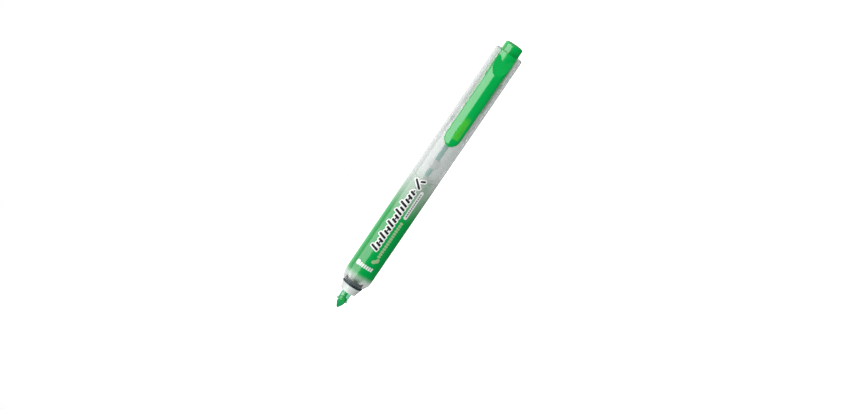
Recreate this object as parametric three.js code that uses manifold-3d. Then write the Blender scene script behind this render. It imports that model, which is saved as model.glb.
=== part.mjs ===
// A retractable highlighter: a frosted barrel with a clear nose, a push button moulded with a long
// pocket clip, a rotary click cam, a refill with a chisel nib, and a flap that seals the nib when
// it is drawn in. The writing position is the model's rest position.
//
// Millimetres, +Z up. Every piece is drawn on the pen's own axis: x runs from the nib's tip at 0
// to the button, and the clip stands out towards -Y. The group then lays the pen on its side, with
// the origin under the middle of its bounding box.
import * as THREE from "three";
import { mergeVertices } from "three/addons/utils/BufferGeometryUtils.js";
import Module from "manifold-3d";

// ---- Driving dimensions -------------------------------------------------------------------------

const LENGTH = 145.7; // nib tip to button top, with the nib out
const BARREL_R = 6.8;
const WALL = 1.0;
const BORE_R = BARREL_R - WALL;
const STROKE = 22; // how far the nib and the button move back when the pen is closed
const OVERTRAVEL = 1; // how far the button goes past its latched position
const CLICK_TURN = Math.PI / 3; // the cam rotor's turn over one stroke
const GAP = 0.1; // running gap between turned pieces
const SEAM = 0.3; // gap between pieces that rest on each other

const NIB_R = 2.05;
const STEM_R = 0.8; // the nib's thin stem, inside the clear holder
const HOLDER_R = 2.43;
const NECK_R = 3.0;
const NOSE_FRONT = 8.9;
const NOSE_BACK = 12.55;
const BARREL_FRONT = 13.6;
const BARREL_BACK = 141.1;

const HINGE_X = 20.6; // the flap's pin, across the pen on the side away from the clip
const HINGE_Y = 3.4;
const FLAP_R = 3.3;
const PIN_R = 0.4;
const CHAMBER_FRONT = 21.4;
const CHAMBER_BACK = 44.7;
const CHAMBER_R = 4.2;
const SPRING_FRONT = 23.1;

const SHOULDER_X = 49.3; // front of the collar that the return spring pushes on
const TUBE_BACK = 72.3;
const ROD_FRONT = 74;
const ROD_R = 1.25;
const COLLAR_X = 78.1;
const ROTOR_X = 97.5;
const ROTOR_R = 4.6;
const SLEEVE_FRONT = 96.5;
const SLEEVE_BACK = 127.6;
const SLEEVE_R = BORE_R - GAP;
const SLEEVE_BORE_R = 5.15;
const LUG_X = 101.5;
const LUG_LENGTH = 3;
const LUG_HALF_ANGLE = 0.2;
const LUGS = 3;

const SKIRT_FRONT = 111.5;
const SKIRT_R = 5.0;
const CAP_R = 4.43;
const SLOT_FRONT = 128;
const SLOT_HALF_WIDTH = 4.2;

const CLIP_FRONT = 91.5;
const CLIP_TOP = 9.2; // the clip's crown above the pen's axis
const CLIP_HALF_WIDTH = 3.9;
const CLIP_CROWN_R = 4.56; // the arch across the clip
const CLIP_THICKNESS = 1.35;
const BUMP_FRONT = 95.2;
const BUMP_BACK = 105.4;
const SLOPE_X = 130; // where the clip's crown starts to slope down to the button
const FLEX_X = 129; // where the arm bends away from its root
const ROOT_FRONT = 129.2;
const ROOT_BACK = 141.5;
const ROOT_R = 6.6; // the root's back, level with the barrel

const COARSE = 16; // sides of a small turned piece
const FINE = 32; // sides of a large one

// ---- Materials ----------------------------------------------------------------------------------

const plastic = (color, roughness = 0.35, opacity = 1) =>
  new THREE.MeshStandardMaterial({ color, roughness, metalness: 0, opacity, transparent: opacity < 1 });

const frosted = plastic(0xdfe8e2, 0.45, 0.4);
const clear = plastic(0xeef4f1, 0.2, 0.45);
const green = plastic(0x04b04b, 0.25, 0.8);
const paleGreen = plastic(0x8fdcb2, 0.2, 0.55);
const seaGreen = plastic(0x3f9c8a, 0.4);
const natural = plastic(0xf0f1ec, 0.4);
const blackRubber = plastic(0x17191b, 0.7);
const inkFelt = plastic(0x009a46, 0.85);
const steel = new THREE.MeshStandardMaterial({ color: 0xb9bcc0, roughness: 0.3, metalness: 1 });

// ---- Solids -------------------------------------------------------------------------------------

const wasm = await Module();
wasm.setup();

// A closed three.js geometry as a solid that can be joined and cut.
function solidOf(geometry) {
  const bare = geometry.clone();
  bare.deleteAttribute("normal");
  bare.deleteAttribute("uv");
  const merged = mergeVertices(bare, 1e-4);
  return new wasm.Manifold(
    new wasm.Mesh({
      numProp: 3,
      vertProperties: new Float32Array(merged.attributes.position.array),
      triVerts: new Uint32Array(merged.index.array),
    }),
  );
}

// The geometry of a solid.
function geometryOf(solid) {
  const mesh = solid.getMesh();
  return new THREE.BufferGeometry()
    .setAttribute("position", new THREE.BufferAttribute(mesh.vertProperties, 3))
    .setIndex(new THREE.BufferAttribute(mesh.triVerts, 1));
}

// A turned piece from its outline of [x, radius] points. A ring's outline runs from its inner front
// corner over the outside and back through its bore; a solid's starts and ends on the axis.
function turned(outline, segments = COARSE) {
  const points = outline.map(([x, r]) => new THREE.Vector2(r, x));
  if (outline[0][1] > 0) points.push(points[0].clone());
  return new THREE.LatheGeometry(points, segments).rotateZ(-Math.PI / 2);
}

const ring = (front, back, inner, outer, segments) =>
  turned([[front, inner], [front, outer], [back, outer], [back, inner]], segments);

const disc = (front, back, radius, segments) =>
  turned([[front, 0], [front, radius], [back, radius], [back, 0]], segments);

// Points of a quarter round from one [x, radius] corner to the other, bulging outwards.
function quarter([x0, r0], [x1, r1], steps) {
  return Array.from({ length: steps + 1 }, (_, i) => {
    const turn = (i / steps) * (Math.PI / 2);
    const risingFirst = r1 > r0;
    const along = risingFirst ? 1 - Math.cos(turn) : Math.sin(turn);
    const out = risingFirst ? Math.sin(turn) : 1 - Math.cos(turn);
    return [x0 + (x1 - x0) * along, r0 + (r1 - r0) * out];
  });
}

// A box given by its lowest and highest corners.
function box(low, high) {
  const size = high.map((value, i) => value - low[i]);
  const middle = high.map((value, i) => (value + low[i]) / 2);
  return new THREE.BoxGeometry(...size).translate(...middle);
}

// A bar wrapped round the pen's axis between two radii. It is centred on angleAt(x), which is
// measured from +Z towards -Y, and may twist along the pen.
function wrapped(front, back, inner, outer, halfAngle, angleAt, steps) {
  const bar = new THREE.BoxGeometry(back - front, 2, outer - inner, steps, 2, 1);
  const at = bar.attributes.position;
  for (let i = 0; i < at.count; i++) {
    const x = at.getX(i) + (front + back) / 2;
    const radius = at.getZ(i) + (inner + outer) / 2;
    const angle = angleAt(x) - at.getY(i) * halfAngle;
    at.setXYZ(i, x, -radius * Math.sin(angle), radius * Math.cos(angle));
  }
  return bar;
}

// A wire coil on the pen's axis with its ends at the two stations.
function coil(front, back, radius, wire, turns) {
  const stepsPerTurn = 10;
  class Helix extends THREE.Curve {
    getPoint(t) {
      const angle = t * turns * 2 * Math.PI;
      return new THREE.Vector3(
        front + wire + (back - front - 2 * wire) * t,
        radius * Math.cos(angle),
        radius * Math.sin(angle),
      );
    }
  }
  const section = new THREE.Shape().absarc(0, 0, wire, 0, 2 * Math.PI);
  return new THREE.ExtrudeGeometry(section, {
    curveSegments: 2,
    steps: turns * stepsPerTurn,
    extrudePath: new Helix(),
    bevelEnabled: false,
  });
}

const pen = new THREE.Group();

function add(name, geometry, material) {
  const mesh = new THREE.Mesh(geometry, material);
  mesh.name = name;
  pen.add(mesh);
  return mesh;
}

// ---- Barrel and nose ----------------------------------------------------------------------------

// Frosted tube with a rounded cone at the front and a slot for the clip's root at the back.
function barrelTube() {
  const coneBack = 15.4;
  const coneR = 6.2;
  const roundBack = 18.4;
  const outline = [
    [BARREL_FRONT, 4.55],
    [BARREL_FRONT, 5.1],
    [coneBack, coneR],
    [16.3, 6.55],
    [17.3, 6.74],
    [roundBack, BARREL_R],
    ...quarter([BARREL_BACK - 0.6, BARREL_R], [BARREL_BACK, BARREL_R - 0.5], 3),
    [BARREL_BACK, BORE_R],
    [17.2, BORE_R],
    [16, 5.55],
  ];
  const slot = box(
    [SLOT_FRONT, -BARREL_R - 1, -SLOT_HALF_WIDTH],
    [BARREL_BACK + 1, -3, SLOT_HALF_WIDTH],
  );
  return geometryOf(solidOf(turned(outline, FINE)).subtract(solidOf(slot)));
}

// Clear nose with a rounded mouth, a small step and a spigot that goes into the barrel.
function noseRing() {
  const mouthR = 3.2;
  const stepX = 10.7;
  return turned(
    [
      [NOSE_FRONT, mouthR],
      ...quarter([NOSE_FRONT, 3.6], [NOSE_FRONT + 0.6, 4.13], 3),
      [stepX, 4.24],
      [stepX, 4.42],
      [NOSE_BACK, 4.88],
      [NOSE_BACK, 3.8],
      [13.75, 3.8],
      [13.75, mouthR],
    ],
    FINE,
  );
}

// Rubber ring between nose and barrel, with a skirt behind the barrel's edge that makes room for
// the flap on one side.
function frontSealRing() {
  const skirtBack = 15.3;
  const body = turned(
    [
      [NOSE_BACK + GAP, 3.9],
      [NOSE_BACK + GAP, 4.95],
      [12.95, 5.12],
      [BARREL_FRONT - GAP, 5.12],
      [BARREL_FRONT - GAP, 4.45],
      [skirtBack, 4.45],
      [skirtBack, 3.9],
    ],
    FINE,
  );
  const relief = box([13.7, 2, -3.6], [skirtBack + 1, 5, 3.6]);
  return geometryOf(solidOf(body).subtract(solidOf(relief)));
}

add("barrel_tube", barrelTube(), frosted);
add("nose_ring", noseRing(), clear);
add("front_seal_ring", frontSealRing(), blackRubber);

// ---- Seal chamber, flap and return spring -------------------------------------------------------

// Tube that holds the nib when the pen is closed. Its flange fills the barrel, and two ears in
// front of the flange carry the flap's pin.
function sealChamber() {
  const mouthR = 3.15;
  const wallR = 3.6;
  const flangeBack = 23;
  const tube = turned(
    [
      [CHAMBER_FRONT, mouthR],
      [CHAMBER_FRONT, BORE_R - GAP],
      [flangeBack, BORE_R - GAP],
      [flangeBack, CHAMBER_R],
      [CHAMBER_BACK, CHAMBER_R],
      [CHAMBER_BACK, wallR],
      [CHAMBER_FRONT + 0.9, wallR],
      [CHAMBER_FRONT + 0.6, mouthR],
    ],
    FINE,
  );
  const earFront = HINGE_X - 0.9;
  let solid = solidOf(tube);
  for (const side of [-1, 1]) {
    const near = 2.35 * side;
    const far = 3.4 * side;
    const ear = box(
      [earFront, HINGE_Y - 0.75, Math.min(near, far)],
      [CHAMBER_FRONT + 0.5, HINGE_Y + 0.85, Math.max(near, far)],
    );
    solid = solid.add(solidOf(ear));
  }
  const pinHole = new THREE.CylinderGeometry(PIN_R + GAP, PIN_R + GAP, 10, 12)
    .rotateX(Math.PI / 2)
    .translate(HINGE_X, HINGE_Y, 0);
  return geometryOf(solid.subtract(solidOf(pinHole)));
}

// Rubber flap: a round lid on a knuckle. It lies along the nib holder while the pen is open.
function shutterFlap() {
  const thickness = 0.6;
  const lidY = 2.7;
  const lidX = HINGE_X - 3.4;
  const lid = new THREE.CylinderGeometry(FLAP_R, FLAP_R, thickness, FINE / 2)
    .translate(lidX, lidY + thickness / 2, 0);
  const tongue = box([lidX, lidY, -1.9], [HINGE_X, lidY + thickness, 1.9]);
  const knuckle = new THREE.CylinderGeometry(0.72, 0.72, 3.8, 16)
    .rotateX(Math.PI / 2)
    .translate(HINGE_X, HINGE_Y, 0);
  const bore = new THREE.CylinderGeometry(PIN_R + GAP, PIN_R + GAP, 5, 12)
    .rotateX(Math.PI / 2)
    .translate(HINGE_X, HINGE_Y, 0);
  return geometryOf(
    solidOf(lid).add(solidOf(tongue)).add(solidOf(knuckle)).subtract(solidOf(bore)),
  );
}

// Plain pin across the pen.
function shutterPin() {
  return new THREE.CylinderGeometry(PIN_R, PIN_R, 6.8, 12)
    .rotateX(Math.PI / 2)
    .translate(HINGE_X, HINGE_Y, 0);
}

add("seal_chamber", sealChamber(), clear);
add("chamber_gasket", ring(CHAMBER_BACK + GAP, 46.2, NECK_R + GAP / 2, CHAMBER_R, FINE), blackRubber);
add("gasket_cap", turned(
  [
    [CHAMBER_BACK - 1.6, CHAMBER_R + GAP],
    [CHAMBER_BACK - 1.6, 4.48],
    [47.2, 4.48],
    [47.2, NECK_R + 0.15],
    [46.3, NECK_R + 0.15],
    [46.3, CHAMBER_R + GAP],
  ],
  COARSE,
), natural);
add("shutter_flap", shutterFlap(), blackRubber);
add("shutter_pin", shutterPin(), steel);
add("return_spring", coil(SPRING_FRONT, SHOULDER_X - GAP, 4.93, 0.25, 10), steel);

// ---- Refill -------------------------------------------------------------------------------------

// Felt nib: a bullet cut by two slanting faces to a chisel edge, and by a third along one side.
function nibSolid() {
  const bulletBack = 4.4;
  const bullet = Array.from({ length: 9 }, (_, i) => {
    const t = i / 8;
    return [bulletBack * t, 0.3 + (NIB_R - 0.3) * Math.sin((t * Math.PI) / 2) ** 0.9];
  });
  const outline = [[0, 0], ...bullet, [5.2, NIB_R], [5.9, STEM_R], [13, STEM_R], [13, 0]];
  let solid = solidOf(turned(outline, COARSE));
  const faceAngle = THREE.MathUtils.degToRad(17.2);
  for (const side of [-1, 1]) {
    const cutter = box([-8, 0, -4], [14, 6, 4]);
    cutter.rotateZ(faceAngle).translate(0, 0.32, 0);
    if (side < 0) cutter.rotateX(Math.PI);
    solid = solid.subtract(solidOf(cutter));
  }
  const slant = box([-8, -4, 0], [10, 4, 6]);
  slant.rotateY(-THREE.MathUtils.degToRad(29)).translate(0, 0, 0.35);
  return geometryOf(solid.subtract(solidOf(slant)));
}

// Clear tube round the nib, with a thin lip at its mouth.
function nibHolder() {
  const mouth = 3.9;
  const lipR = 2.9;
  const boreR = NIB_R + 0.07;
  return turned(
    [
      [mouth, boreR],
      [mouth, HOLDER_R - 0.1],
      [mouth + 0.15, lipR],
      [mouth + 0.5, lipR],
      [mouth + 0.75, HOLDER_R],
      [22.3, HOLDER_R],
      [22.3, 1.75],
      [13.2, 1.75],
      [13.2, boreR],
    ],
    FINE,
  );
}

// Neck between nib holder and ink tube, which slides in the chamber's gasket.
function feedNeck() {
  return turned(
    [
      [22.4, 1.75],
      [22.4, 2.6],
      [22.8, NECK_R],
      [49.9, NECK_R],
      [49.9, 1.75],
    ],
    FINE,
  );
}

// Collar that takes the return spring's push.
function refillShoulder() {
  return turned(
    [
      [SHOULDER_X, NECK_R + GAP],
      [SHOULDER_X, 5.2],
      [SHOULDER_X + 1.2, 5.2],
      [SHOULDER_X + 1.2, NECK_R + GAP],
    ],
    COARSE,
  );
}

// Ink tube with a shouldered front that closes on the neck.
function inkTube() {
  const front = SHOULDER_X + 1.3;
  return turned(
    [
      [front, NECK_R + GAP],
      [front, 4.1],
      [front + 0.5, 4.6],
      [TUBE_BACK, 4.6],
      [TUBE_BACK, 4.0],
      [front + 1.2, 4.0],
      [front + 1.2, NECK_R + GAP],
    ],
    COARSE,
  );
}

// Plug in the ink tube's back end, tapering to the push rod.
function tailPlug() {
  return turned(
    [
      [69, 0],
      [69, 3.9],
      [TUBE_BACK + GAP, 3.9],
      [TUBE_BACK + GAP, 4.6],
      [TUBE_BACK + 0.8, 4.6],
      [ROD_FRONT - 0.2, 2.2],
      [ROD_FRONT - 0.2, 0],
    ],
    COARSE,
  );
}

// Clear bead on the push rod.
function tailCollar() {
  const boreR = ROD_R + GAP;
  return turned(
    [
      [COLLAR_X, boreR],
      [COLLAR_X, 1.9],
      ...quarter([COLLAR_X + 0.4, 1.9], [COLLAR_X + 1.4, 2.6], 3),
      ...quarter([COLLAR_X + 3.2, 2.6], [COLLAR_X + 4.2, 1.9], 3),
      [COLLAR_X + 4.6, 1.9],
      [COLLAR_X + 4.6, boreR],
    ],
    COARSE,
  );
}

add("nib", nibSolid(), inkFelt);
add("nib_holder", nibHolder(), paleGreen);
add("feed_neck", feedNeck(), paleGreen);
add("feed_wick", disc(13.2, 52.2, 1.6, COARSE), inkFelt);
add("refill_shoulder", refillShoulder(), natural);
add("ink_tube", inkTube(), paleGreen);
add("ink_core", disc(52.4, 68.8, 3.85, COARSE), inkFelt);
add("tail_plug", tailPlug(), clear);
add("push_rod", turned(
  [[ROD_FRONT, 0], [ROD_FRONT, ROD_R], [98.6, ROD_R], [99.2, 0.8], [99.2, 0]],
  COARSE,
), seaGreen);
add("tail_collar", tailCollar(), clear);

// ---- Click cam ----------------------------------------------------------------------------------

// The turn of the rotor's lugs at station x, so that they follow the sleeve's tracks.
const trackAngle = (x) => ((x - LUG_X) / STROKE) * -CLICK_TURN;

// Rotor with a socket for the push rod, three lugs and a crown of bevelled teeth.
function camRotor() {
  const crownFront = 109;
  const crownBack = 110.4;
  let solid = solidOf(
    turned([
      [ROTOR_X, 0],
      [ROTOR_X, 2.6],
      [100.4, 2.6],
      [101.2, ROTOR_R],
      [crownFront, ROTOR_R],
      [crownBack, ROTOR_R],
      [crownBack, 3.2],
      [103, 3.2],
      [103, 0],
    ]),
  );
  const socket = disc(ROTOR_X - 1, 99.5, ROD_R + 0.2, COARSE);
  solid = solid.subtract(solidOf(socket));
  for (let i = 0; i < LUGS; i++) {
    const centre = (i * 2 * Math.PI) / LUGS;
    const lug = wrapped(
      LUG_X, LUG_X + LUG_LENGTH, ROTOR_R - 0.5, SLEEVE_R - 0.15,
      LUG_HALF_ANGLE, (x) => centre + trackAngle(x), 2,
    );
    solid = solid.add(solidOf(lug));
  }
  const teeth = 6;
  for (let i = 0; i < teeth; i++) {
    const notch = box([crownFront + 0.4, -1, 2.5], [crownBack + 1, 1, ROTOR_R + 1]);
    notch.rotateX((i * 2 * Math.PI) / teeth);
    solid = solid.subtract(solidOf(notch));
  }
  return geometryOf(solid);
}

// Sleeve fixed in the barrel, with three slanting tracks that turn the rotor as it slides.
function camSleeve() {
  const margin = 0.035;
  let solid = solidOf(ring(SLEEVE_FRONT, SLEEVE_BACK, SLEEVE_BORE_R, SLEEVE_R, FINE));
  for (let i = 0; i < LUGS; i++) {
    const centre = (i * 2 * Math.PI) / LUGS;
    const track = wrapped(
      LUG_X - OVERTRAVEL - 0.3, SLEEVE_BACK + 1, SLEEVE_BORE_R - 0.5, SLEEVE_R + 0.5,
      LUG_HALF_ANGLE + margin, (x) => centre + trackAngle(x), 8,
    );
    solid = solid.subtract(solidOf(track));
  }
  return geometryOf(solid);
}

add("cam_rotor", camRotor(), natural);
add("cam_sleeve", camSleeve(), clear);

// ---- Button and clip ----------------------------------------------------------------------------

// Side view of the clip as [x, height above the axis]: a straight arm with a bump under its free
// end, sloping down at the back to a root that stands in the barrel's slot.
function clipSideView(rootDepth) {
  const slopeEnd = 5.08;
  const underside = BARREL_R - 1.4;
  const side = new THREE.Shape();
  side.moveTo(CLIP_FRONT, CLIP_TOP - 2.1);
  side.quadraticCurveTo(CLIP_FRONT + 0.2, CLIP_TOP, CLIP_FRONT + 3.4, CLIP_TOP);
  side.lineTo(SLOPE_X, CLIP_TOP);
  side.lineTo(ROOT_BACK, slopeEnd);
  side.lineTo(ROOT_BACK, rootDepth);
  side.lineTo(ROOT_FRONT, rootDepth);
  side.lineTo(ROOT_FRONT, underside);
  side.lineTo(CLIP_FRONT, underside);
  return side;
}

// Plan of the clip: straight sides and a round free end.
function clipPlan() {
  const endLength = 4.5;
  const endX = CLIP_FRONT + endLength;
  const plan = new THREE.Shape();
  plan.moveTo(ROOT_BACK + 1, -CLIP_HALF_WIDTH);
  plan.lineTo(ROOT_BACK + 1, CLIP_HALF_WIDTH);
  plan.lineTo(endX, CLIP_HALF_WIDTH);
  plan.absellipse(endX, 0, endLength, CLIP_HALF_WIDTH, Math.PI / 2, (3 * Math.PI) / 2, false);
  return plan;
}

// A bar along the pen over the barrel, round across its width.
function crownBar(front, back, radius, top) {
  return new THREE.CylinderGeometry(radius, radius, back - front, 48)
    .rotateZ(Math.PI / 2)
    .translate((front + back) / 2, radius - top, 0);
}

// The clip and its root as one solid. The side view and the plan are drawn through each other,
// rounded along the crown and hollowed underneath. The bump is left, and the root fills the slot
// level with the barrel.
function clipSolid() {
  const rootDepth = 2.5;
  const slab = new THREE.ExtrudeGeometry(clipSideView(rootDepth), {
    depth: 12,
    bevelEnabled: false,
    curveSegments: 6,
  });
  slab.translate(0, 0, -6).rotateX(Math.PI);
  const outline = new THREE.ExtrudeGeometry(clipPlan(), {
    depth: 14,
    bevelEnabled: false,
    curveSegments: 10,
  });
  outline.rotateX(Math.PI / 2);
  const crown = solidOf(crownBar(CLIP_FRONT - 1, ROOT_BACK + 1, CLIP_CROWN_R, CLIP_TOP))
    .add(solidOf(box([ROOT_FRONT, -CLIP_TOP + CLIP_CROWN_R, -5], [ROOT_BACK + 1, 0, 5])));
  const underR = CLIP_CROWN_R - CLIP_THICKNESS * 0.35;
  const hollowTop = CLIP_TOP - CLIP_THICKNESS;
  const hollow = solidOf(crownBar(CLIP_FRONT - 2, ROOT_FRONT - 0.1, underR, hollowTop))
    .add(solidOf(box([CLIP_FRONT - 2, underR - hollowTop, -6], [ROOT_FRONT - 0.1, 0, 6])));
  const bumpSide = new THREE.Shape();
  bumpSide.moveTo(BUMP_FRONT - 0.5, hollowTop + 0.4);
  bumpSide.lineTo(BUMP_BACK + 0.5, hollowTop + 0.4);
  bumpSide.quadraticCurveTo(BUMP_BACK - 1.5, BARREL_R + SEAM, BUMP_BACK - 3.5, BARREL_R + SEAM);
  bumpSide.lineTo(BUMP_FRONT + 2.5, BARREL_R + SEAM);
  bumpSide.quadraticCurveTo(BUMP_FRONT + 1, BARREL_R + SEAM, BUMP_FRONT - 0.5, hollowTop + 0.4);
  const bump = new THREE.ExtrudeGeometry(bumpSide, { depth: 4, bevelEnabled: false, curveSegments: 4 });
  bump.translate(0, 0, -2).rotateX(Math.PI);
  const clearance = solidOf(disc(CLIP_FRONT - 2, ROOT_FRONT - 0.1, BARREL_R + SEAM, FINE));
  const arm = solidOf(slab)
    .intersect(solidOf(outline))
    .intersect(crown)
    .subtract(hollow)
    .subtract(clearance);
  const rootHalfWidth = SLOT_HALF_WIDTH - 0.35;
  const rootBlock = solidOf(box([ROOT_FRONT, -ROOT_R, -rootHalfWidth], [ROOT_BACK, -rootDepth, rootHalfWidth]))
    .intersect(solidOf(disc(ROOT_FRONT - 1, ROOT_BACK + 1, ROOT_R, FINE)));
  let solid = arm.add(rootBlock).add(solidOf(bump).subtract(clearance));
  for (const way of [-1, 1]) {
    const cheek = box(
      [ROOT_FRONT - 0.1, -BARREL_R - 0.3, Math.min(way * rootHalfWidth, way * 6)],
      [ROOT_BACK + 2, 0, Math.max(way * rootHalfWidth, way * 6)],
    );
    solid = solid.subtract(solidOf(cheek));
  }
  return solid;
}

// Button cap on a long skirt that slides in the barrel, with a crown of teeth at its front and the
// clip's root moulded on.
function pushButton(clip) {
  const boreR = 4.0;
  const capFront = BARREL_BACK - 1.1;
  const body = turned(
    [
      [SKIRT_FRONT, boreR],
      [SKIRT_FRONT, SKIRT_R],
      [capFront, SKIRT_R],
      [capFront + 0.6, CAP_R],
      ...quarter([LENGTH - 0.9, CAP_R], [LENGTH - 0.1, CAP_R - 0.8], 4),
      [LENGTH, 2],
      [LENGTH, 0],
      [LENGTH - 1.6, 0],
      [LENGTH - 1.6, 3.3],
      [capFront, 3.3],
      [capFront - 1, boreR],
    ],
    FINE,
  );
  const rootSide = box([FLEX_X + SEAM / 2, -12, -6], [ROOT_BACK + 2, 0, 6]);
  const bore = disc(SKIRT_FRONT - 1, capFront - 1, boreR + 0.05, FINE);
  const root = clip.intersect(solidOf(rootSide)).subtract(solidOf(bore));
  let solid = solidOf(body).add(root);
  const teeth = 6;
  for (let i = 0; i < teeth; i++) {
    const notch = box([SKIRT_FRONT - 1, -1.2, 3.5], [SKIRT_FRONT + 1.1, 1.2, SKIRT_R + 1]);
    notch.rotateX((i * 2 * Math.PI) / teeth);
    solid = solid.subtract(solidOf(notch));
  }
  return geometryOf(solid);
}

// The springy arm, from its free end to the line where it bends.
function clipArm(clip) {
  const armSide = box([CLIP_FRONT - 2, -12, -6], [FLEX_X - SEAM / 2, 0, 6]);
  return geometryOf(clip.intersect(solidOf(armSide)));
}

const clip = clipSolid();
add("push_button", pushButton(clip), green);
add("clip_arm", clipArm(clip), green);

// ---- The pen on its side ------------------------------------------------------------------------

pen.position.set(-LENGTH / 2, (CLIP_TOP - BARREL_R) / 2, BARREL_R);
const highlighter = new THREE.Group();
highlighter.add(pen);

export default highlighter;
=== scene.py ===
import math

import bpy
from mathutils import Matrix, Vector


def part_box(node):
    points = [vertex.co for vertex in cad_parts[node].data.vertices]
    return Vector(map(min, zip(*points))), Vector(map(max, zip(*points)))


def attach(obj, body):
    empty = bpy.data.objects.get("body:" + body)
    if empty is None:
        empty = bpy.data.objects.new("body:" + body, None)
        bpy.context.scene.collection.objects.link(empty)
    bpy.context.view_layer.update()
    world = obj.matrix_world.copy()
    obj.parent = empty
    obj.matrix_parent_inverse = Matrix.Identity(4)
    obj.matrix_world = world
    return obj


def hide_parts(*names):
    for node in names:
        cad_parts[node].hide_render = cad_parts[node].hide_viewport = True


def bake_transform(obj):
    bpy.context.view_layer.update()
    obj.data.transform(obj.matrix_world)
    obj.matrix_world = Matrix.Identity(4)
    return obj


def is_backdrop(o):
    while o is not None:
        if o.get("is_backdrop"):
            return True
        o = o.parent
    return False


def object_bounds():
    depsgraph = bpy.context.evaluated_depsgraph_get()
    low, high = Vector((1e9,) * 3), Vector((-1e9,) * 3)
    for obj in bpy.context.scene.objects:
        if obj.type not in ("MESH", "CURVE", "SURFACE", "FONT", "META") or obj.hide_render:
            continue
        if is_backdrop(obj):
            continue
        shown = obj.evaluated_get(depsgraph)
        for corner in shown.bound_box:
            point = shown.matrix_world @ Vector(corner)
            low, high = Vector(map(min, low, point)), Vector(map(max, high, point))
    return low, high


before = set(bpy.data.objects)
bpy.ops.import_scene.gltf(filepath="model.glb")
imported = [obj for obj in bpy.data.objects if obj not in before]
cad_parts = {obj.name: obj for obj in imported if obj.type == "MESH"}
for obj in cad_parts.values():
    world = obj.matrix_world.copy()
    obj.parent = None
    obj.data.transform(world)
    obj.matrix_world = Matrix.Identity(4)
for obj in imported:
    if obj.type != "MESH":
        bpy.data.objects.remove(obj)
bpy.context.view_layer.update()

# ---- Barrel tube --------------------------------------------------------------------------------
# Frosted polypropylene tube, 1 mm thick, with a rounded cone at the front and a slot for the clip's
# root at the back. A green band is screen-printed on the outside, and fades out at both ends. It is
# drawn along the pen from a circle, and the slot is cut with a rounded block.

MM = 0.001
nib_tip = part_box("nib")[0].x
barrel_low, barrel_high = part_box("barrel_tube")
barrel_radius = (barrel_high.z - barrel_low.z) / 2
axis_z = (barrel_low.z + barrel_high.z) / 2
axis_y = barrel_high.y - barrel_radius
barrel_r = barrel_radius / MM
barrel_bore_r = barrel_r - 1


def on_axis(station):
    """The point of the pen's axis that lies this many millimetres behind the nib's tip."""
    return Vector((nib_tip + station * MM, axis_y, axis_z))


def stations(cad_node):
    """Where a CAD node begins and ends, in millimetres behind the nib's tip."""
    return [(corner.x - nib_tip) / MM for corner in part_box(cad_node)]


def choose(piece):
    """Makes this piece the only one that the next steps work on."""
    bpy.ops.object.select_all(action="DESELECT")
    piece.select_set(True)
    bpy.context.view_layer.objects.active = piece


def finished(piece, bevel=0.0):
    """Rounds a new piece's sharp edges, smooths its shading and puts its origin at the world's."""
    smooth_angle = math.radians(35)
    choose(piece)
    bpy.ops.object.transform_apply(location=True, rotation=True, scale=True)
    if bevel:
        rounding = piece.modifiers.new("rounded edges", "BEVEL")
        rounding.width = bevel * MM
        rounding.segments = 3
        rounding.limit_method = "ANGLE"
        rounding.angle_limit = smooth_angle
        bpy.ops.object.modifier_apply(modifier=rounding.name)
    bpy.ops.object.shade_smooth_by_angle(angle=smooth_angle)
    return piece


def turned(name, outline, bevel=0.0, sides=96):
    """A turned piece. Its outline is a list of (station, radius) in millimetres. A ring's outline
    comes back to its first point, and a solid's first and last points are small closed ends."""
    bpy.ops.object.select_all(action="DESELECT")
    is_ring = outline[0] == outline[-1]
    station, radius = outline[0]
    bpy.ops.mesh.primitive_circle_add(
        vertices=sides,
        radius=radius * MM,
        fill_type="NOTHING" if is_ring else "NGON",
        location=on_axis(station),
        rotation=(0, math.pi / 2, 0),
    )
    piece = bpy.context.object
    piece.name = name
    bpy.ops.object.mode_set(mode="EDIT")
    bpy.ops.mesh.select_all(action="SELECT")
    for (from_station, from_radius), (to_station, to_radius) in zip(outline, outline[1:]):
        along = (to_station - from_station) * MM
        bpy.ops.mesh.extrude_region_move(TRANSFORM_OT_translate={"value": (along, 0, 0)})
        spread = to_radius / from_radius
        bpy.ops.transform.resize(value=(1, spread, spread), center_override=on_axis(to_station))
    bpy.ops.mesh.select_all(action="SELECT")
    bpy.ops.mesh.remove_doubles(threshold=0.002 * MM)
    bpy.ops.mesh.normals_make_consistent(inside=False)
    bpy.ops.object.mode_set(mode="OBJECT")
    return finished(piece, bevel)


def block(name, low, high, corner=0.0, turn=0.0):
    """A box between two corners given as (station, out towards the clip, up), in millimetres, turned
    about its middle seen from the clip's side, with its edges along that direction rounded."""
    middle = [(a + b) / 2 for a, b in zip(low, high)]
    size = [(b - a) * MM for a, b in zip(low, high)]
    bpy.ops.object.select_all(action="DESELECT")
    bpy.ops.mesh.primitive_cube_add(
        size=1,
        location=on_axis(middle[0]) + Vector((0, -middle[1] * MM, middle[2] * MM)),
        rotation=(0, math.radians(turn), 0),
        scale=size,
    )
    piece = bpy.context.object
    piece.name = name
    bpy.ops.object.transform_apply(location=True, rotation=True, scale=True)
    if corner:
        bpy.ops.object.mode_set(mode="EDIT")
        bpy.ops.mesh.select_mode(type="EDGE")
        bpy.ops.mesh.select_all(action="DESELECT")
        bpy.ops.object.mode_set(mode="OBJECT")
        for edge in piece.data.edges:
            ends = [piece.data.vertices[i].co for i in edge.vertices]
            edge.select = abs(ends[0].y - ends[1].y) > 1e-6
        bpy.ops.object.mode_set(mode="EDIT")
        bpy.ops.mesh.bevel(offset=corner * MM, segments=6)
        bpy.ops.object.mode_set(mode="OBJECT")
    return piece


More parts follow.
